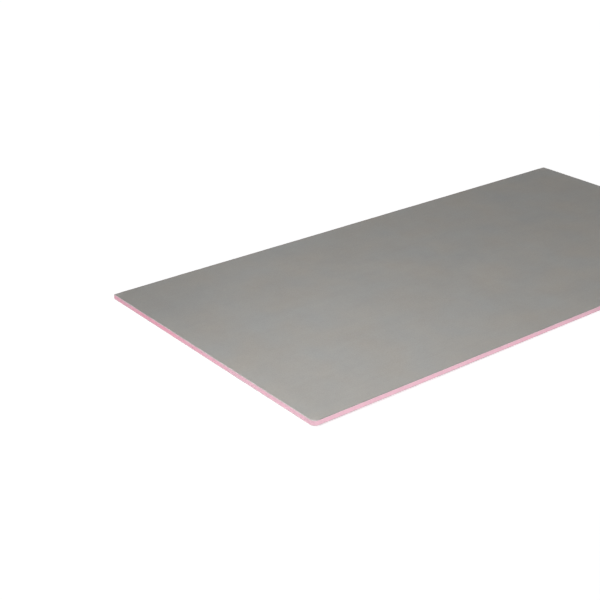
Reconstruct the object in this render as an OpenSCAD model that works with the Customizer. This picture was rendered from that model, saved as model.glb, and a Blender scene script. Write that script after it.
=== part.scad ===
// Tile backer board: a flat sheet of extruded polystyrene foam with a thin coat of
// reinforced cement mortar bonded to each face, sawn square on all four sides.
// It lies on its back face: X runs along the length, Y across the width, and the origin
// is the middle of the underside.

/* [Board] */
// Length of the board
board_length = 1200; // [600:50:2600]
// Width of the board
board_width = 600; // [300:50:1200]
// Overall thickness of the board, both coats included
board_thickness = 10; // [6, 10, 12, 20, 30, 40, 50]

/* [Mortar coats] */
// Thickness of the mortar coat on each face
coat_thickness = 0.8; // [0.5:0.1:1.2]
// Width of the worn arris where a coat's outer face meets the sawn sides
coat_arris = 0.3; // [0.1:0.1:0.4]

/* [Colours] */
// Colour of the mortar coats
coat_colour = "#A19F9B"; // [#A19F9B:Cement grey, #C4C2BD:Pale grey, #7D7C79:Dark grey]
// Colour of the foam core
core_colour = "#E6BCC8"; // [#E6BCC8:Pink, #A8CDE0:Blue, #E4D59A:Yellow]

/* [Hidden] */
core_thickness = board_thickness - 2 * coat_thickness;
core_bottom = coat_thickness;
core_top = core_bottom + core_thickness;

// Section through a coat, bonded side down: full width against the foam, and eased by the
// arris where its outer face meets the two sides
module coat_section(width) {
    half = width / 2;
    shoulder = coat_thickness - coat_arris;
    polygon([
        [-half, 0],
        [half, 0],
        [half, shoulder],
        [half - coat_arris, coat_thickness],
        [-half + coat_arris, coat_thickness],
        [-half, shoulder]
    ]);
}

// One mortar coat with its bonded side on Z = 0: the two sections crossed, so that the
// arris runs round all four sides
module coat() {
    intersection() {
        rotate([90, 0, 90])
            linear_extrude(height = board_length, center = true)
                coat_section(board_width);
        rotate([90, 0, 0])
            linear_extrude(height = board_width, center = true)
                coat_section(board_length);
    }
}

// Mortar coat under the foam, on which the board lies
module bottom_coat() {
    color(coat_colour)
        translate([0, 0, core_bottom])
            mirror([0, 0, 1])
                coat();
}

// Foam core, bare on its four sawn sides
module foam_core() {
    color(core_colour)
        translate([-board_length / 2, -board_width / 2, core_bottom])
            cube([board_length, board_width, core_thickness]);
}

// Mortar coat on the face that takes the tiles
module top_coat() {
    color(coat_colour)
        translate([0, 0, core_top])
            coat();
}

bottom_coat();
foam_core();
top_coat();
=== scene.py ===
import math

import bmesh
import bpy
import numpy as np
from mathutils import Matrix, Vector


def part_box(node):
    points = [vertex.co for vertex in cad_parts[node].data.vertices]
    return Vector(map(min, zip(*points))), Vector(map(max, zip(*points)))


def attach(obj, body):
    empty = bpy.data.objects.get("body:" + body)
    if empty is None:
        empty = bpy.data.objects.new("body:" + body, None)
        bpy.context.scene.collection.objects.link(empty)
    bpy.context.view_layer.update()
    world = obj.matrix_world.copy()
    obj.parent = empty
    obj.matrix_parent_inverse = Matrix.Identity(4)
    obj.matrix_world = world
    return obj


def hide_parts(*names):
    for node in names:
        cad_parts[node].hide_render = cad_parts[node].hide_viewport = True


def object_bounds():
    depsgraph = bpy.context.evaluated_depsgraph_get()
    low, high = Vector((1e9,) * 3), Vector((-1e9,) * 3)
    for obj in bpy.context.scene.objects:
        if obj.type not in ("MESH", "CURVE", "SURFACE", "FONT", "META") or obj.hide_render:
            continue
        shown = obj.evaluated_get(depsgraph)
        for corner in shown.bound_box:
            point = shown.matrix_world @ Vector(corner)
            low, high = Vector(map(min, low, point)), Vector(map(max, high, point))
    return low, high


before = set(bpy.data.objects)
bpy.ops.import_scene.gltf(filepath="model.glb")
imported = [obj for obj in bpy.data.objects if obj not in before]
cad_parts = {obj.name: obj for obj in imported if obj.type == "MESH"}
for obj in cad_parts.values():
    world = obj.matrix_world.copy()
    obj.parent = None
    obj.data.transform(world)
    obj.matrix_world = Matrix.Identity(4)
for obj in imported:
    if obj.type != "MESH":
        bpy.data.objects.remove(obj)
cad_low, cad_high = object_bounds()

# A tile backer board, lying flat on a white floor: a pink foam core between two coats of
# grey mortar. Each of the three is one closed mesh in place of its CAD node.

# ---------------------------------------------------------------------------------------
# Sizes, in metres, and the camera's place
# ---------------------------------------------------------------------------------------
MM = 0.001

HALF_LENGTH = cad_high.x
HALF_WIDTH = cad_high.y
LENGTH = 2 * HALF_LENGTH
WIDTH = 2 * HALF_WIDTH
GIRTH = 2 * (LENGTH + WIDTH)

# Where the camera aims, beside the board's middle, and from where it looks there
AIM = Vector((-0.3277, 0.0795, 0.0))
VIEW_AZIMUTH = -38.26
VIEW_ELEVATION = 24.83
VIEW_DISTANCE = 2.310
LENS_MM = 73.69

# Points along each side of the rim, and how much closer together they lie at the corners
LONG_POINTS = 1200
SHORT_POINTS = 600
CORNER_SQUEEZE = 0.5

# A field of cells closes each face. How many of the rim's points a cell spans, on the
# coats' faces and on the bonded sides, and how far in from the rim the field starts
FACE_CELL = 6
HIDDEN_CELL = 12
FIELD_INSET = 14 * MM

# The map that textures are made through, and how much of its own room a strip fills
MAP_NAME = "OFBake"
STRIP_FILL = 0.85

# An edge is shaded as sharp where its faces meet at more than this many degrees
SHARP_EDGE = 40

# How far the saw wandered inside the board's true sides: on average, and in waves round
# the rim, each given as its rise and its length
SAW_INSIDE = 0.16 * MM
SAW_WAVES = ((0.10 * MM, 70 * MM), (0.06 * MM, 22 * MM))

# Each corner's radius and how hard it was knocked, in the order (-X,-Y), (-X,+Y), (+X,-Y),
# (+X,+Y), and how far along the sides the knocks reach
CORNER_RADII = np.array([10.0, 0.9, 2.0, 3.0]) * MM
CORNER_KNOCKS = (0.6, 1.0, 0.4, 0.8)
KNOCK_REACH = 22 * MM

# The pieces that the low lamps light: the floor gets none of their light
BOARD = bpy.data.collections.new("board")


# ---------------------------------------------------------------------------------------
# Smooth noise
# ---------------------------------------------------------------------------------------
def eased(part):
    return part * part * (3 - 2 * part)


def blobs(x, y, size, seed):
    """Smooth noise from -1 to 1 over the board's face, in blobs about this size across."""
    columns = math.ceil(LENGTH / size) + 3
    rows = math.ceil(WIDTH / size) + 3
    table = np.random.default_rng(seed).uniform(-1, 1, (columns, rows))
    column, across = np.divmod((x + HALF_LENGTH) / size + 0.5, 1)
    row, along = np.divmod((y + HALF_WIDTH) / size + 0.5, 1)
    column, row = column.astype(int), row.astype(int)
    across, along = eased(across), eased(along)
    near = table[column, row] * (1 - across) + table[column + 1, row] * across
    far = table[column, row + 1] * (1 - across) + table[column + 1, row + 1] * across
    return near * (1 - along) + far * along


def ripples(walked, size, seed):
    """Smooth noise from -1 to 1 along the rim, which meets itself after one walk round."""
    count = round(GIRTH / size)
    table = np.random.default_rng(seed).uniform(-1, 1, count)
    step, part = np.divmod(walked / GIRTH * count, 1)
    step = step.astype(int)
    part = eased(part)
    return table[step % count] * (1 - part) + table[(step + 1) % count] * part


# ---------------------------------------------------------------------------------------
# The board's rim, which all three pieces share
# ---------------------------------------------------------------------------------------
def side_steps(count):
    """Steps from 0 up to 1 along a side, closer together near its worn corners."""
    part = np.arange(count) / count
    return part - CORNER_SQUEEZE * np.sin(2 * np.pi * part) / (2 * np.pi)


def square_rim():
    """The outline, walked round once from the (-X, -Y) corner: X, Y and the way walked."""
    long_way = LENGTH * side_steps(LONG_POINTS)
    short_way = WIDTH * side_steps(SHORT_POINTS)
    low_x, high_x = np.full(SHORT_POINTS, -HALF_LENGTH), np.full(SHORT_POINTS, HALF_LENGTH)
    low_y, high_y = np.full(LONG_POINTS, -HALF_WIDTH), np.full(LONG_POINTS, HALF_WIDTH)
    x = np.concatenate([long_way - HALF_LENGTH, high_x, HALF_LENGTH - long_way, low_x])
    y = np.concatenate([low_y, short_way - HALF_WIDTH, high_y, HALF_WIDTH - short_way])
    walked = np.concatenate([
        long_way,
        LENGTH + short_way,
        LENGTH + WIDTH + long_way,
        2 * LENGTH + WIDTH + short_way,
    ])
    return x, y, walked


def round_corners(x, y):
    """Pulls the outline in to an arc at each corner."""
    radius = CORNER_RADII[(x > 0) * 2 + (y > 0)]
    past_x = np.abs(x) - (HALF_LENGTH - radius)
    past_y = np.abs(y) - (HALF_WIDTH - radius)
    turning = (past_x > 0) & (past_y > 0)
    pull = np.where(turning, radius / np.maximum(np.hypot(past_x, past_y), 1e-9), 1)
    round_x = np.sign(x) * (HALF_LENGTH - radius + past_x * pull)
    round_y = np.sign(y) * (HALF_WIDTH - radius + past_y * pull)
    return np.where(turning, round_x, x), np.where(turning, round_y, y)


RIM_X, RIM_Y, WALKED = square_rim()
RIM_X, RIM_Y = round_corners(RIM_X, RIM_Y)
RIM_COUNT = len(WALKED)


def way_from(place):
    """How far round the rim each of its points lies from this place, the shorter way."""
    return np.abs((WALKED - place + GIRTH / 2) % GIRTH - GIRTH / 2)


def wander(middle, waves, seed):
    """A number for each point of the rim: the middle one, and waves (rise, length) on it."""
    found = np.full(RIM_COUNT, middle)
    for step, (rise, length) in enumerate(waves):
        found += rise * ripples(WALKED, length, seed + step)
    return found


def corner_knocks():
    """How knocked the rim is: up to 1 at a corner, easing to 0 along the sides."""
    corners = (0, 2 * LENGTH + WIDTH, LENGTH, LENGTH + WIDTH)
    return np.max([
        knock * eased(np.clip(1 - way_from(corner) / KNOCK_REACH, 0, 1))
        for corner, knock in zip(corners, CORNER_KNOCKS)
    ], 0)


SAW_CUT = wander(SAW_INSIDE, SAW_WAVES, 11)


def ring(inset, height):
    """The outline moved in from the saw cut by inset, at this height."""
    shrink_x = 1 - (SAW_CUT + inset) / HALF_LENGTH
    shrink_y = 1 - (SAW_CUT + inset) / HALF_WIDTH
    height = np.broadcast_to(height, RIM_COUNT)
    return np.stack([RIM_X * shrink_x, RIM_Y * shrink_y, height], 1)


# ---------------------------------------------------------------------------------------
# Closed shells: rings of points up the sides, and a field of cells across each face
# ---------------------------------------------------------------------------------------
def field_points(cell, height):
    """A field's grid of points. height(x, y) gives how high each one lies."""
    long_part = np.append(side_steps(LONG_POINTS)[::cell], 1)
    short_part = np.append(side_steps(SHORT_POINTS)[::cell], 1)
    x = (2 * long_part - 1) * (HALF_LENGTH - FIELD_INSET)
    y = (2 * short_part - 1) * (HALF_WIDTH - FIELD_INSET)
    x, y = np.meshgrid(x, y, indexing="ij")
    z = np.broadcast_to(height(x, y), x.shape)
    return np.stack([x, y, z], 2)


def field_faces(first, columns, rows):
    """A field's quads, and the points round its outline in the order of the rim."""
    index = first + np.arange((columns + 1) * (rows + 1)).reshape(columns + 1, rows + 1)
    quads = np.stack([index[:-1, :-1], index[1:, :-1], index[1:, 1:], index[:-1, 1:]], 2)
    outline = np.concatenate([
        index[:-1, 0],
        index[-1, :-1],
        index[:0:-1, -1],
        index[0, :0:-1],
    ])
    return quads.reshape(-1, 4).tolist(), outline


def fan_faces(first, outline, cell):
    """Triangles from the ring that starts at point first to a field's outline."""
    faces = []
    half = cell // 2
    for i, corner in enumerate(outline):
        following = outline[(i + 1) % len(outline)]
        fine = [first + (i * cell + k) % RIM_COUNT for k in range(cell + 1)]
        for k in range(half):
            faces.append([fine[k], fine[k + 1], corner])
        for k in range(half, cell):
            faces.append([fine[k], fine[k + 1], following])
        faces.append([fine[half], following, corner])
    return faces


def ring_faces(count):
    """Quads from each ring to the next, where there are this many rings."""
    here = np.arange(RIM_COUNT)
    after = (here + 1) % RIM_COUNT
    faces = []
    for row in range(count - 1):
        low, high = row * RIM_COUNT, (row + 1) * RIM_COUNT
        quads = np.stack([here + low, after + low, after + high, here + high], 1)
        faces += quads.tolist()
    return faces


def closed_rings(rings, fields):
    """The rings' points and faces, and then those of the field inside each end ring.

    Returns all the points, and the faces in three groups, one for the rings and one for
    each field.
    """
    points = [np.concatenate(rings)]
    groups = [ring_faces(len(rings))]
    total = len(points[0])
    for (cell, height), first in zip(fields, (0, total - RIM_COUNT)):
        grid = field_points(cell, height)
        quads, outline = field_faces(total, grid.shape[0] - 1, grid.shape[1] - 1)
        groups.append(quads + fan_faces(first, outline, cell))
        points.append(grid.reshape(-1, 3))
        total += grid.shape[0] * grid.shape[1]
    return np.concatenate(points), groups


def shell(name, rings, fields, chart, values):
    """A closed mesh object from its rings and the field that closes it at each end.

    fields are the (cell, height) of the one inside the first ring and of the one inside
    the last. chart is as map_layout takes it. values are named numbers for each point of
    each ring, which the material reads. They are 0 over the fields.
    """
    points, groups = closed_rings(rings, fields)
    mesh = bpy.data.meshes.new(name)
    mesh.from_pydata(points, [], sum(groups, []))
    places = map_layout(points, groups, chart)
    mesh.uv_layers.new(name=MAP_NAME).uv.foreach_set("vector", places.astype(np.float32).ravel())
    for value_name, rows in values.items():
        found = np.zeros(len(points), np.float32)
        found[: len(rings) * RIM_COUNT] = np.concatenate(rows)
        mesh.attributes.new(value_name, "FLOAT", "POINT").data.foreach_set("value", found)
    face_outwards(mesh)
    piece = bpy.data.objects.new(name, mesh)
    bpy.context.scene.collection.objects.link(piece)
    BOARD.objects.link(piece)
    return piece


def map_layout(points, groups, chart):
    """Where each corner of each face lies on the map that textures are made through.

    groups are the faces between the rings, then those of each field. In the chart, the
    first rows of faces between rings are unrolled as strips, and all the others lie with
    the last field. rim, first and last are the parts of the map's height, from low to
    high, that the strips and the two fields have.
    """
    rim_faces = np.array(groups[0])
    unrolled = chart["rows"] * RIM_COUNT
    return np.concatenate([
        strip_places(chart["rows"], chart["strips"], *chart["rim"]),
        flat_places(points, rim_faces[unrolled:], *chart["last"]),
        flat_places(points, groups[1], *chart["first"]),
        flat_places(points, groups[2], *chart["last"]),
    ])


def strip_places(rows, strips, low, high):
    """The rim cut into strips of one length, which lie above each other."""
    length = RIM_COUNT // strips
    strip, step = np.divmod(np.arange(RIM_COUNT), length)
    left, right = step / length, (step + 1) / length
    pitch = (high - low) / strips
    found = []
    for row in range(rows):
        near = low + pitch * (strip + STRIP_FILL * row / rows)
        far = low + pitch * (strip + STRIP_FILL * (row + 1) / rows)
        corners = [(left, near), (right, near), (right, far), (left, far)]
        found.append(np.stack([np.stack(corner, 1) for corner in corners], 1).reshape(-1, 2))
    return np.concatenate(found)


def flat_places(points, faces, low, high):
    """Faces seen from straight above, over the map's whole width."""
    corners = points[[corner for face in faces for corner in face]]
    across = corners[:, 0] / LENGTH + 0.5
    up = low + (corners[:, 1] / WIDTH + 0.5) * (high - low)
    return np.stack([across, up], 1)


def face_outwards(mesh):
    """Turns every face outwards, and shades the mesh smooth except at its sharp edges."""
    work = bmesh.new()
    work.from_mesh(mesh)
    bmesh.ops.recalc_face_normals(work, faces=work.faces)
    if work.calc_volume(signed=True) < 0:
        bmesh.ops.reverse_faces(work, faces=work.faces)
    work.to_mesh(mesh)
    work.free()
    mesh.shade_smooth()
    mesh.set_sharp_from_angle(angle=math.radians(SHARP_EDGE))


# ---------------------------------------------------------------------------------------
# The mortar coats
# ---------------------------------------------------------------------------------------
# On the map: the cut edge as strips, the bonded side, and the face
COAT_CHART = {
    "rows": 4,
    "strips": 3,
    "rim": (0, 0.05),
    "first": (0.05, 0.1),
    "last": (0.1, 1),
}

# The slow waves that the coating line left in a face, each given as its rise and its
# length, and how far below full height the face lies on average
COATING_WAVES = ((0.132 * MM, 110 * MM), (0.060 * MM, 34 * MM), (0.021 * MM, 11 * MM))
COATING_DEPTH = 0.216 * MM

# How far the arris round a face is worn back: on average, in waves round the rim, and how
# much further at a knocked corner. It takes at most this part of the coat's thickness
ARRIS_WIDTH = 0.22 * MM
ARRIS_WAVES = ((0.10 * MM, 1.7 * MM), (0.08 * MM, 7 * MM))
ARRIS_KNOCK = 0.3 * MM
ARRIS_SHARE = 0.8

# The chips in it: how many, and the widest and the deepest that one may be
CHIP_COUNT = 70
CHIP_WIDTH = 5 * MM
CHIP_DEPTH = 0.75 * MM

# How far behind the saw cut the mortar lies, where it was sawn and where it tore at the
# bond, and how high up the cut edge the sawn part starts
SAWN_INSET = 0.03 * MM
SAWN_WAVES = ((0.03 * MM, 2.3 * MM),)
TORN_INSET = 0.07 * MM
TORN_WAVES = ((0.06 * MM, 1.9 * MM),)
SAWN_FROM = 0.3

# How pale or dark the mortar's cut edge is made, from -1, darker, to 1, pale: along the sides
# of each coat, along the ends, and in waves round the rim. Over this stretch at each corner,
# the sides turn into the ends
EDGE_TONE_SIDES_TOP = -0.8
EDGE_TONE_SIDES_BOTTOM = 0.8
EDGE_TONE_ENDS = 0.85
EDGE_TONE_WAVES = ((0.3, 60 * MM), (0.45, 16 * MM))
CORNER_EASE = 40 * MM


def coating_relief(seed):
    """Returns the function of X and Y that says how far below full height a face lies."""
    def depth(x, y):
        found = COATING_DEPTH
        for step, (rise, length) in enumerate(COATING_WAVES):
            found = found - rise * blobs(x, y, length, seed + step)
        return found
    return depth


def chips(seed):
    """How deep the rim is chipped, in round bites at random places."""
    draw = np.random.default_rng(seed)
    depth = np.zeros(RIM_COUNT)
    for _ in range(CHIP_COUNT):
        place = draw.uniform(0, GIRTH)
        width = draw.uniform(0.3, 1) * CHIP_WIDTH
        deep = draw.uniform(0.4, 1) ** 2 * CHIP_DEPTH
        bite = np.sqrt(np.clip(1 - (2 * way_from(place) / width) ** 2, 0, 1))
        depth = np.maximum(depth, deep * bite)
    return depth


def worn_arris(seed):
    """How far the arris round a face is worn back at each point of the rim."""
    return wander(ARRIS_WIDTH, ARRIS_WAVES, seed) + chips(seed + 2) + ARRIS_KNOCK * corner_knocks()


def end_share():
    """1 along the board's two ends and 0 along its sides, easing over at each corner."""
    middles = (LENGTH + WIDTH / 2, 2 * LENGTH + 1.5 * WIDTH)
    away = np.min([way_from(middle) for middle in middles], 0)
    return eased(np.clip(0.5 + (WIDTH / 2 - away) / CORNER_EASE, 0, 1))


def cut_edge_tone(on_sides, seed):
    """How pale the mortar's cut edge is made, from -1, darker, to 1, pale. The ends and the knocked
    corners are pale.
    """
    edge_tone = wander(on_sides, EDGE_TONE_WAVES, seed) + (EDGE_TONE_ENDS - on_sides) * end_share()
    return np.clip(edge_tone + (1 - edge_tone) * corner_knocks(), -1, 1)


def face_steps(sawn, arris, drop):
    """The rings from the sawn edge over the arris and on to the face.

    Each has its inset, how far it has fallen from full height, and how much it shows of
    the cut edge's tone, paler or darker, and of the pale knocked corners.
    """
    return (
        (sawn + 0.02 * MM, drop, 1, 0),
        (sawn + 0.35 * arris, 0.30 * drop, 1, 0),
        (sawn + arris, 0.05 * drop, 0.8, 0),
        (sawn + arris + 0.5 * MM, 0, 0.25, 0.375),
        (sawn + arris + 1.3 * MM, 0, 0, 0.5),
        (3.2 * MM, 0, 0, 0.4),
        (5.5 * MM, 0, 0, 0.3),
        (9 * MM, 0, 0, 0.15),
    )


def coat(name, node, outward, sides_tone, seed):
    """A mortar coat in place of its CAD node. outward is 1 for the top coat and -1 below."""
    low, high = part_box(node)
    thick = high.z - low.z
    bond = low.z if outward > 0 else high.z
    relief = coating_relief(seed)
    arris = worn_arris(seed)
    drop = np.minimum(arris, ARRIS_SHARE * thick)
    sawn = wander(SAWN_INSET, SAWN_WAVES, seed + 3)
    torn = wander(TORN_INSET, TORN_WAVES, seed + 4)
    edge_tone = cut_edge_tone(sides_tone, seed + 5)
    knocked = corner_knocks() ** 2

    rings = [ring(torn, bond), ring(sawn, bond + outward * SAWN_FROM * (thick - drop))]
    shown = [edge_tone, edge_tone]
    for inset, fall, tone_part, knocked_part in face_steps(sawn, arris, drop):
        points = ring(inset, 0)
        full = thick - relief(points[:, 0], points[:, 1])
        points[:, 2] = bond + outward * np.clip(full - fall, 0, thick)
        rings.append(points)
        shown.append(tone_part * edge_tone + knocked_part * knocked)
    fields = (
        (HIDDEN_CELL, lambda x, y: bond),
        (FACE_CELL, lambda x, y: bond + outward * (thick - relief(x, y))),
    )
    piece = shell(name, rings, fields, COAT_CHART, {"edge_tone": shown})
    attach(piece, "root")
    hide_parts(node)
    return piece


# ---------------------------------------------------------------------------------------
# The foam core
# ---------------------------------------------------------------------------------------
# Rings up the sawn sides
FOAM_RINGS = 13

# On the map: the sawn sides as strips, and the two bonded sides
FOAM_CHART = {
    "rows": FOAM_RINGS - 1,
    "strips": 12,
    "rim": (0, 0.86),
    "first": (0.86, 0.93),
    "last": (0.93, 1),
}

# How far behind the saw cut the foam's sides lie: on average, and in waves round the rim
FOAM_INSET = 0.12 * MM
FOAM_WAVES = ((0.04 * MM, 40 * MM),)

# The saw's marks: their rise and length, and how far they lean from a side's foot to its top
MARK_RISE = 0.05 * MM
MARK_LENGTH = 3.1 * MM
MARK_LEAN = 2.5 * MM

# The dents in the sides: how many, and how far up and down one reaches, as a part of the
# core's thickness
DENT_COUNT = 60
DENT_REACH = 0.35


def dents(level, seed):
    """How deep the sides are dented at this level, which is 0 at the foot and 1 on top."""
    draw = np.random.default_rng(seed)
    depth = np.zeros(RIM_COUNT)
    for _ in range(DENT_COUNT):
        place = draw.uniform(0, GIRTH)
        middle = draw.uniform(0.2, 0.8)
        width = draw.uniform(3, 9) * MM
        deep = draw.uniform(0.15, 0.6) * MM
        away = (way_from(place) / width) ** 2 + ((level - middle) / DENT_REACH) ** 2
        depth += deep * np.exp(-2 * away)
    return depth


def foam_core(name, node, seed):
    """The foam core in place of its CAD node: sawn sides, a little behind the mortar."""
    low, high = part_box(node)
    rings = []
    side_height = []
    for level in np.linspace(0, 1, FOAM_RINGS):
        inset = wander(FOAM_INSET, FOAM_WAVES, seed + 1) + dents(level, seed + 2)
        inset += MARK_RISE * ripples(WALKED + MARK_LEAN * level, MARK_LENGTH, seed)
        rings.append(ring(inset, low.z + level * (high.z - low.z)))
        side_height.append(np.full(RIM_COUNT, level))
    fields = (
        (HIDDEN_CELL, lambda x, y: low.z),
        (HIDDEN_CELL, lambda x, y: high.z),
    )
    piece = shell(name, rings, fields, FOAM_CHART, {"side_height": side_height})
    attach(piece, "root")
    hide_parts(node)
    return piece


# ---------------------------------------------------------------------------------------
# Shader nodes
# ---------------------------------------------------------------------------------------
def linear(red, green, blue):
    """A colour given as 0 to 255 on screen, as the four numbers that a shader wants."""
    def one(value):
        part = value / 255
        return part / 12.92 if part <= 0.04045 else ((part + 0.055) / 1.055) ** 2.4
    return one(red), one(green), one(blue), 1


class Nodes:
    """Makes and joins the nodes of one material or world."""

    def __init__(self, tree):
        self.tree = tree
        self.tree.nodes.clear()

    def add(self, kind, settings=None, sockets=None):
        """A new node. sockets are its inputs by name, or by number where names repeat."""
        made = self.tree.nodes.new("ShaderNode" + kind)
        for name, value in (settings or {}).items():
            setattr(made, name, value)
        for name, value in (sockets or {}).items():
            self.put(made.inputs[name], value)
        return made

    def put(self, socket, value):
        if isinstance(value, bpy.types.NodeSocket):
            self.tree.links.new(value, socket)
        else:
            socket.default_value = value

    def place(self):
        """Where each point lies on its object, in metres."""
        return self.add("TexCoord").outputs["Object"]

    def axes(self, place):
        """The X, Y and Z of a place, by name."""
        return self.add("SeparateXYZ", sockets={"Vector": place}).outputs

    def attribute(self, name):
        return self.add("Attribute", {"attribute_name": name}).outputs["Fac"]

    def maths(self, operation, *values):
        made = self.add("Math", {"operation": operation})
        for socket, value in zip(made.inputs, values):
            self.put(socket, value)
        return made.outputs[0]

    def total(self, *terms):
        """The sum of (value, weight) pairs."""
        found = 0.0
        for value, weight in terms:
            found = self.maths("MULTIPLY_ADD", value, weight, found)
        return found

    def vectors(self, operation, first, second):
        return self.add("VectorMath", {"operation": operation}, {0: first, 1: second})

    def moved(self, place, location=(0, 0, 0), scale=(1, 1, 1)):
        """The place, scaled and then moved."""
        made = self.add("Mapping", sockets={"Vector": place, "Location": location, "Scale": scale})
        return made.outputs["Vector"]

    def frayed(self, place, size, reach):
        """The place, shaken by noise of this size as far as reach, so that edges fray."""
        shake = self.maths("MULTIPLY", self.noise(place, size), reach)
        return self.vectors("ADD", place, shake).outputs["Vector"]

    def spread(self, value, low, high, to_low, to_high, clamp=True, kind="LINEAR"):
        """The value, mapped from low and high to the other two numbers."""
        made = self.add("MapRange", {"clamp": clamp, "interpolation_type": kind}, {
            "Value": value, "From Min": low, "From Max": high, "To Min": to_low, "To Max": to_high,
        })
        return made.outputs["Result"]

    def noise(self, place, size, detail=2):
        """Noise from about -1 to 1, with blobs about this size across."""
        made = self.add("TexNoise", sockets={"Vector": place, "Scale": 1 / size, "Detail": detail})
        return self.spread(made.outputs["Fac"], 0.3, 0.7, -1, 1, clamp=False)

    def spots(self, place, spacing, radius, chosen, seed, full=0.6):
        """1 inside round spots, one in each chosen part of the cells this far apart.

        Each spot is 1 over this full part of its radius, and fades to 0 at its rim.
        """
        shifted = self.moved(place, location=(seed, seed / 3, 0))
        cells = self.add("TexVoronoi", sockets={"Vector": shifted, "Scale": 1 / spacing})
        rim = radius / spacing
        inside = self.spread(cells.outputs["Distance"], full * rim, rim, 1, 0)
        lot = self.add("SeparateColor", sockets={"Color": cells.outputs["Color"]}).outputs[0]
        drawn = self.maths("LESS_THAN", lot, chosen)
        return self.maths("MULTIPLY", inside, drawn)

    def blend(self, part, first, second):
        """The first colour where part is 0, and the second where it is 1."""
        made = self.add("Mix", {"data_type": "RGBA"})
        inputs = {socket.identifier: socket for socket in made.inputs}
        outputs = {socket.identifier: socket for socket in made.outputs}
        self.put(inputs["Factor_Float"], part)
        self.put(inputs["A_Color"], first)
        self.put(inputs["B_Color"], second)
        return outputs["Result_Color"]

    def toned(self, colour, tone):
        """The colour, made brighter by tone where that is over 0, and darker below."""
        made = self.add("VectorMath", {"operation": "SCALE"}, {
            "Vector": colour, "Scale": self.maths("ADD", tone, 1.0),
        })
        return made.outputs["Vector"]

    def surface(self, colour, roughness, height, specular):
        """Joins the colour, roughness and height in metres to a shader."""
        bump = self.add("Bump", sockets={"Height": height, "Distance": 1.0, "Strength": 1.0})
        shader = self.add("BsdfPrincipled", sockets={
            "Base Color": colour,
            "Roughness": roughness,
            "Specular IOR Level": specular,
            "Normal": bump.outputs["Normal"],
        })
        self.add("OutputMaterial", sockets={"Surface": shader.outputs["BSDF"]})


def new_material(name):
    """A material and the maker of its nodes."""
    material = bpy.data.materials.new(name)
    material.use_nodes = True
    return material, Nodes(material.node_tree)


# ---------------------------------------------------------------------------------------
# Materials
# ---------------------------------------------------------------------------------------
MORTAR = linear(156, 156, 154)
MORTAR_WARM = linear(160, 156, 150)
MORTAR_PALE_EDGE = linear(206, 200, 197)
MORTAR_ROUGHNESS = 0.88
MORTAR_SPECULAR = 0.3

# Painted light beside the board's ends, which makes the face paler there: how far in it
# starts to fade and where it has gone, and how far that wanders
MARGIN_FULL = 11 * MM
MARGIN_GONE = 45 * MM
MARGIN_WANDER = 6 * MM

# The mesh that the mortar hides: how far apart its strands lie, and how far they bend
MESH_PITCH = 5 * MM
MESH_BEND = 0.6 * MM

FOAM = linear(229, 184, 198)
FOAM_DEEP = linear(237, 170, 189)
FOAM_PALE = linear(233, 205, 212)
FOAM_ROUGHNESS = 0.72
FOAM_SPECULAR = 0.35
FOAM_CELL = 0.4 * MM


def mortar(name, shift):
    """Grey polymer cement over a buried mesh. shift moves the patterns between the coats."""
    material, nodes = new_material(name)
    on_board = nodes.place()
    place = nodes.moved(on_board, location=(shift, shift, 0))
    edge_tone = nodes.attribute("edge_tone")

    clouds = nodes.noise(place, 130 * MM, detail=3)
    patches = nodes.noise(place, 30 * MM, detail=3)
    streaks = nodes.noise(nodes.moved(place, scale=(3, 110, 40)), 1)
    grain = nodes.noise(place, 0.6 * MM)
    sand = nodes.noise(place, 2.2 * MM)
    hue = nodes.noise(nodes.moved(place, location=(5, 3, 0)), 90 * MM)
    # Pinholes are real hollows in the height, and their darker tone is painted shade
    pinholes_and_their_shade = nodes.spots(place, spacing=6 * MM, radius=0.45 * MM, chosen=0.35, seed=1.7)
    dark_grains = nodes.spots(place, spacing=1.3 * MM, radius=0.40 * MM, chosen=0.5, seed=5.1)
    pale_grains = nodes.spots(place, spacing=1.6 * MM, radius=0.45 * MM, chosen=0.5, seed=8.9)
    dark_specks = nodes.spots(place, spacing=55 * MM, radius=2.5 * MM, chosen=0.25, seed=3.1)
    pale_specks = nodes.spots(place, spacing=75 * MM, radius=1.4 * MM, chosen=0.20, seed=7.3)
    strands = mesh_print(nodes, place)
    # Painted light: the face is made paler beside the board's ends
    painted_end_light = painted_light_at_ends(nodes, on_board, patches)
    # Darker where the cut edge's tone is below 0, as along the top coat's long sides
    darker_edge = nodes.maths("MINIMUM", edge_tone, 0.0)

    colour = nodes.blend(nodes.spread(hue, -1.1, 1.1, 0, 1), MORTAR, MORTAR_WARM)
    colour = nodes.blend(edge_tone, colour, MORTAR_PALE_EDGE)
    # Here the pinholes are darkened: painted shade in the pits
    colour = nodes.toned(colour, nodes.total(
        (clouds, 0.022), (patches, 0.018), (streaks, 0.010), (grain, 0.040), (sand, 0.030),
        (dark_grains, -0.14), (pale_grains, 0.12), (strands, 0.015),
        (pinholes_and_their_shade, -0.35), (dark_specks, -0.12), (pale_specks, 0.10),
        (painted_end_light, 0.04), (darker_edge, 0.25),
    ))
    roughness = nodes.total((patches, 0.03), (grain, 0.03))
    height = nodes.total(
        (grain, 0.04 * MM), (sand, 0.06 * MM), (patches, 0.03 * MM), (streaks, 0.008 * MM),
        (pinholes_and_their_shade, -0.2 * MM), (strands, 0.045 * MM),
    )
    nodes.surface(colour, nodes.maths("ADD", roughness, MORTAR_ROUGHNESS), height, MORTAR_SPECULAR)
    return material


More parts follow.
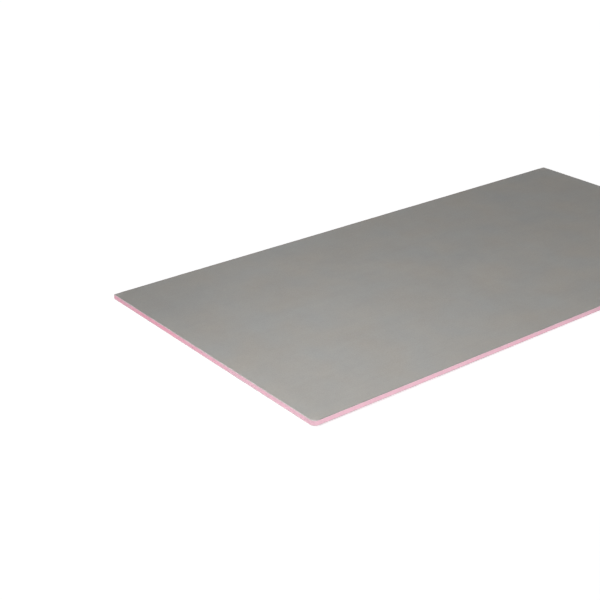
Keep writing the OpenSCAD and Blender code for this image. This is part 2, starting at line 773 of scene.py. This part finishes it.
def painted_light_at_ends(nodes, on_board, patches):
    """1 beside the board's ends, where painted light makes the face paler, easing to 0 inwards."""
    along = nodes.maths("ABSOLUTE", nodes.axes(on_board)["X"])
    inwards = nodes.maths("SUBTRACT", HALF_LENGTH, along)
    inwards = nodes.maths("MULTIPLY_ADD", patches, MARGIN_WANDER, inwards)
    return nodes.spread(inwards, MARGIN_FULL, MARGIN_GONE, 1, 0, kind="SMOOTHSTEP")


def mesh_print(nodes, place):
    """1 over the strands of the mesh that the mortar hides, which print through faintly."""
    bend = nodes.noise(place, 40 * MM, detail=1)
    axes = nodes.axes(place)
    strands = []
    for axis in (axes["X"], axes["Y"]):
        bent = nodes.maths("MULTIPLY_ADD", bend, MESH_BEND, axis)
        turn = nodes.maths("MULTIPLY", bent, 2 * math.pi / MESH_PITCH)
        strands.append(nodes.maths("COSINE", turn))
    shows = nodes.spread(nodes.noise(place, 70 * MM), -1, 1, 0.2, 1)
    return nodes.maths("MULTIPLY", nodes.maths("MAXIMUM", *strands), shows)


def foam(name):
    """Pink extruded polystyrene: fine closed cells, sawn across."""
    material, nodes = new_material(name)
    place = nodes.place()
    level = nodes.attribute("side_height")
    axes = nodes.axes(place)
    along = nodes.maths("ADD", axes["X"], axes["Y"])
    side = nodes.add("CombineXYZ", sockets={"X": along, "Y": axes["Z"]}).outputs["Vector"]

    cells = nodes.add("TexVoronoi", sockets={"Vector": place, "Scale": 1 / FOAM_CELL})
    bubbles = nodes.spread(cells.outputs["Distance"], 0, 1, 1, -1, clamp=False)
    mottle = nodes.noise(place, 8 * MM, detail=3)
    clouds = nodes.noise(place, 50 * MM)
    saw = nodes.noise(nodes.moved(side, scale=(900, 60, 1)), 1, detail=3)
    frayed = nodes.frayed(place, 1.2 * MM, 0.3 * MM)
    # The pits are real hollows in the height, and their darker tone is painted shade
    pits_and_their_shade = nodes.spots(frayed, spacing=3.5 * MM, radius=0.8 * MM, chosen=0.3, seed=2.2, full=0.1)

    # The pink is deeper in long stretches, and low on the sides
    stretches = nodes.noise(nodes.moved(place, location=(-1.6, 1.0, 0)), 260 * MM)
    lower = nodes.maths("SUBTRACT", 0.5, level)
    deep = nodes.total((stretches, 1.0), (mottle, 0.3), (lower, 0.5))
    colour = nodes.blend(nodes.spread(deep, 0, 1, 0, 1), FOAM, FOAM_DEEP)

    # Saw dust pales it beside each coat
    outer = nodes.maths("ABSOLUTE", nodes.maths("SUBTRACT", level, 0.5))
    dust = nodes.spread(nodes.maths("MULTIPLY_ADD", mottle, 0.03, outer), 0.38, 0.5, 0, 0.75)
    colour = nodes.blend(dust, colour, FOAM_PALE)
    # Here the pits are darkened: painted shade in them
    colour = nodes.toned(colour, nodes.total(
        (bubbles, 0.05), (mottle, 0.025), (clouds, 0.02), (saw, 0.03), (pits_and_their_shade, -0.22),
    ))
    roughness = nodes.maths("MULTIPLY_ADD", mottle, 0.05, FOAM_ROUGHNESS)
    height = nodes.total((bubbles, 0.05 * MM), (saw, 0.04 * MM), (pits_and_their_shade, -0.35 * MM))
    nodes.surface(colour, roughness, height, FOAM_SPECULAR)
    return material


# ---------------------------------------------------------------------------------------
# Floor, lights, world and camera
# ---------------------------------------------------------------------------------------
FLOOR_SIDE = 60.0
FLOOR_ALBEDO = 0.80
FLOOR_WHITE = 1.03  # how bright the camera sees the floor, wherever nothing shades it
WORLD_LIGHT = 0.20
WHITE = (1, 1, 1, 1)

# The key is a square lamp, and it lights the board and the floor
KEY_PLACE = Vector((-0.78, -0.30, 0.92))
KEY_AIM = Vector((1.11, -1.57, 0.0))
KEY_SIDE = 1.0
KEY_WATTS = 11.5

# The fills are low lamps, one for each side of the board, and they light only the board.
# Each has its name, place, aim, height and watts here, and all are equally wide
FILLS = (
    ("left_fill", (-2.0, 0.75, 0.18), (-0.5, 0.0, 0.0), 0.4, 12.9),
    ("front_fill", (-0.37, -2.0, 0.18), (-0.1, -0.2, 0.0), 0.4, 18.7),
    ("right_fill", (2.4, 0.0, 0.15), (0.5, 0.0, 0.0), 0.3, 21.4),
    ("rear_fill", (0.0, 2.1, 0.40), (0.1, 0.2, 0.0), 0.3, 22.2),
)
FILL_WIDTH = 1.0


def seen_ray(nodes):
    """1 for rays from the camera, and from mirrors and glass, that show the background."""
    path = nodes.add("LightPath").outputs
    found = nodes.maths("MAXIMUM", path["Is Camera Ray"], path["Is Glossy Ray"])
    return nodes.maths("MAXIMUM", found, path["Is Transmission Ray"])


def key_on_floor(nodes):
    """How bright the key makes a white floor, summed over four points of the lamp.

    Two each way, where Gauss's rule puts them, are enough. A point gives the floor its
    share of watts / pi**2, times the cosines of the angles at which light leaves the lamp
    and meets the floor, over the square of the distance.
    """
    place = nodes.place()
    axis = (KEY_AIM - KEY_PLACE).normalized()
    across = axis.cross(Vector((0, 0, 1))).normalized()
    upward = across.cross(axis)
    reach = KEY_SIDE / math.sqrt(12)
    found = 0.0
    for way in (-reach, reach):
        for rise in (-reach, reach):
            spot = KEY_PLACE + way * across + rise * upward
            offset = nodes.vectors("SUBTRACT", place, spot).outputs["Vector"]
            ahead = nodes.vectors("DOT_PRODUCT", offset, axis).outputs["Value"]
            square = nodes.vectors("DOT_PRODUCT", offset, offset).outputs["Value"]
            share = nodes.maths("POWER", square, -2.0)
            share = nodes.maths("MULTIPLY", nodes.maths("MAXIMUM", ahead, 0.0), share)
            found = nodes.maths("MULTIPLY_ADD", share, spot.z * KEY_WATTS / math.pi**2 / 4, found)
    return found


def floor_material():
    """White floor: it keeps the board's shadow, and its glow makes up for what the lamps
    give less of further off."""
    material, nodes = new_material("white_floor")
    floor_light = nodes.maths("ADD", key_on_floor(nodes), WORLD_LIGHT)
    glow = nodes.maths("MULTIPLY_ADD", floor_light, -FLOOR_ALBEDO, FLOOR_WHITE)
    glow = nodes.maths("MULTIPLY", glow, seen_ray(nodes))
    light = nodes.add("Emission", sockets={"Strength": glow})
    matt = nodes.add("BsdfDiffuse", sockets={"Color": (FLOOR_ALBEDO, FLOOR_ALBEDO, FLOOR_ALBEDO, 1)})
    both = nodes.add("AddShader", sockets={0: light.outputs["Emission"], 1: matt.outputs["BSDF"]})
    nodes.add("OutputMaterial", sockets={"Surface": both.outputs["Shader"]})
    return material


def make_floor():
    half = FLOOR_SIDE / 2
    mesh = bpy.data.meshes.new("floor")
    corners = [(-half, -half, 0), (half, -half, 0), (half, half, 0), (-half, half, 0)]
    mesh.from_pydata(corners, [], [(0, 1, 2, 3)])
    mesh.materials.append(floor_material())
    floor = bpy.data.objects.new("floor", mesh)
    bpy.context.scene.collection.objects.link(floor)


def make_world():
    """A soft even light from all round, which is seen as white."""
    world = bpy.data.worlds.new("studio")
    world.use_nodes = True
    nodes = Nodes(world.node_tree)
    light = nodes.add("Background", sockets={"Color": WHITE, "Strength": WORLD_LIGHT})
    white = nodes.add("Background", sockets={"Color": WHITE, "Strength": 1.0})
    mix = nodes.add("MixShader", sockets={
        0: seen_ray(nodes), 1: light.outputs["Background"], 2: white.outputs["Background"],
    })
    nodes.add("OutputWorld", sockets={"Surface": mix.outputs["Shader"]})
    bpy.context.scene.world = world


def area_light(name, place, aim, width, height, watts, lit=None):
    """A lamp from place towards aim. It lights everything, or only the collection lit."""
    data = bpy.data.lights.new(name, "AREA")
    data.shape = "RECTANGLE"
    data.size = width
    data.size_y = height
    data.energy = watts
    lamp = bpy.data.objects.new(name, data)
    lamp.location = place
    lamp.rotation_mode = "QUATERNION"
    lamp.rotation_quaternion = (Vector(aim) - Vector(place)).to_track_quat("-Z", "Y")
    lamp.visible_camera = False
    lamp.light_linking.receiver_collection = lit
    bpy.context.scene.collection.objects.link(lamp)


def make_lights():
    area_light("key", KEY_PLACE, KEY_AIM, KEY_SIDE, KEY_SIDE, KEY_WATTS)
    for name, place, aim, height, watts in FILLS:
        area_light(name, place, aim, FILL_WIDTH, height, watts, BOARD)


def make_camera():
    azimuth = math.radians(VIEW_AZIMUTH)
    elevation = math.radians(VIEW_ELEVATION)
    back = Vector((
        math.sin(azimuth) * math.cos(elevation),
        -math.cos(azimuth) * math.cos(elevation),
        math.sin(elevation),
    ))
    data = bpy.data.cameras.new("camera")
    data.lens = LENS_MM
    camera = bpy.data.objects.new("camera", data)
    camera.location = AIM + VIEW_DISTANCE * back
    camera.rotation_mode = "QUATERNION"
    camera.rotation_quaternion = (-back).to_track_quat("-Z", "Y")
    bpy.context.scene.collection.objects.link(camera)
    bpy.context.scene.camera = camera


# ---------------------------------------------------------------------------------------
# The scene
# ---------------------------------------------------------------------------------------
make_camera()
make_floor()
make_world()
make_lights()
bpy.context.scene.view_settings.view_transform = "Standard"

top = coat("top_coat_mortar", "top_coat", 1, EDGE_TONE_SIDES_TOP, 100)
bottom = coat("bottom_coat_mortar", "bottom_coat", -1, EDGE_TONE_SIDES_BOTTOM, 200)
core = foam_core("foam_core_body", "foam_core", 300)
top.data.materials.append(mortar("mortar_top", 0.0))
bottom.data.materials.append(mortar("mortar_bottom", 4.0))
core.data.materials.append(foam("foam_pink"))
